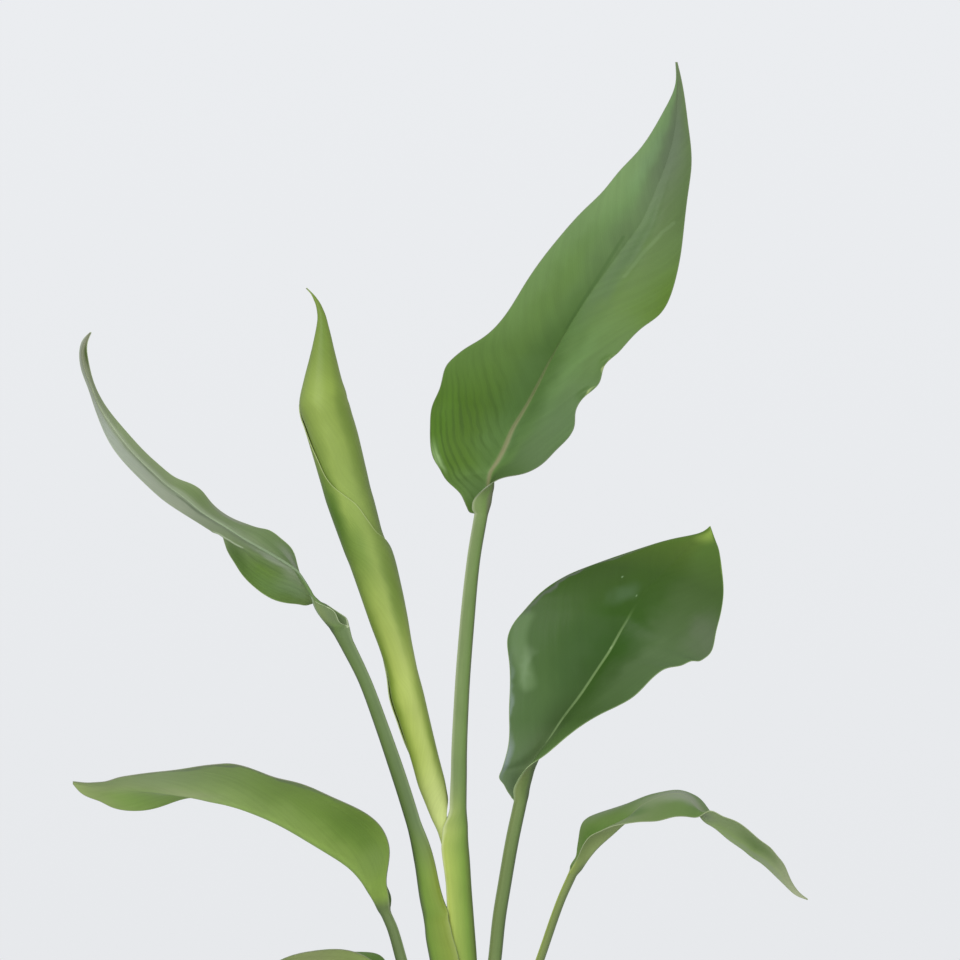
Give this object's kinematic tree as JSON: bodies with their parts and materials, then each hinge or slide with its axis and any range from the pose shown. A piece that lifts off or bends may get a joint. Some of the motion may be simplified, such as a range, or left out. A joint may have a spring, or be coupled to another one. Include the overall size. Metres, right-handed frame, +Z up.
{
  "type": "potted bird of paradise plant",
  "caption": "Potted bird of paradise plant: a flat fan of broad waved leaves on long grooved stalks, the newest still rolled up, in a plain tapered pot.",
  "frame": {"origin": "centre of the pot's flat base, on the surface it stands on", "axes": "+Z up, +X along the fan of leaves toward the tallest leaf's side, -Y toward the front"},
  "size_m": [0.3678, 0.172, 0.6991],
  "materials": {
    "pot": "matt off-white",
    "soil": "loose bark potting mix",
    "new_leaf": "bright yellow-green young leaf, satin",
    "dark_blade": "dark green leaf, satin to glossy",
    "blue_blade": "blue-green waxy leaf underside",
    "low_blade": "mid green leaf, satin",
    "pale_stalk": "pale green stalk, smooth satin",
    "dark_stalk": "grey-green stalk, smooth satin"
  },
  "bodies": {
    "root": {"pot": "pot", "soil": "soil", "leaf_c_rolled": "new_leaf", "leaf_a_stalk": "pale_stalk", "leaf_a_blade": "dark_blade", "leaf_b_stalk": "pale_stalk", "leaf_b_blade": "blue_blade", "leaf_d_stalk": "dark_stalk", "leaf_d_blade": "dark_blade", "leaf_e_stalk": "dark_stalk", "leaf_e_blade": "low_blade", "leaf_f_stalk": "dark_stalk", "leaf_f_blade": "low_blade", "leaf_g_stalk": "dark_stalk", "leaf_g_blade": "low_blade"}
  },
  "joints": []
}
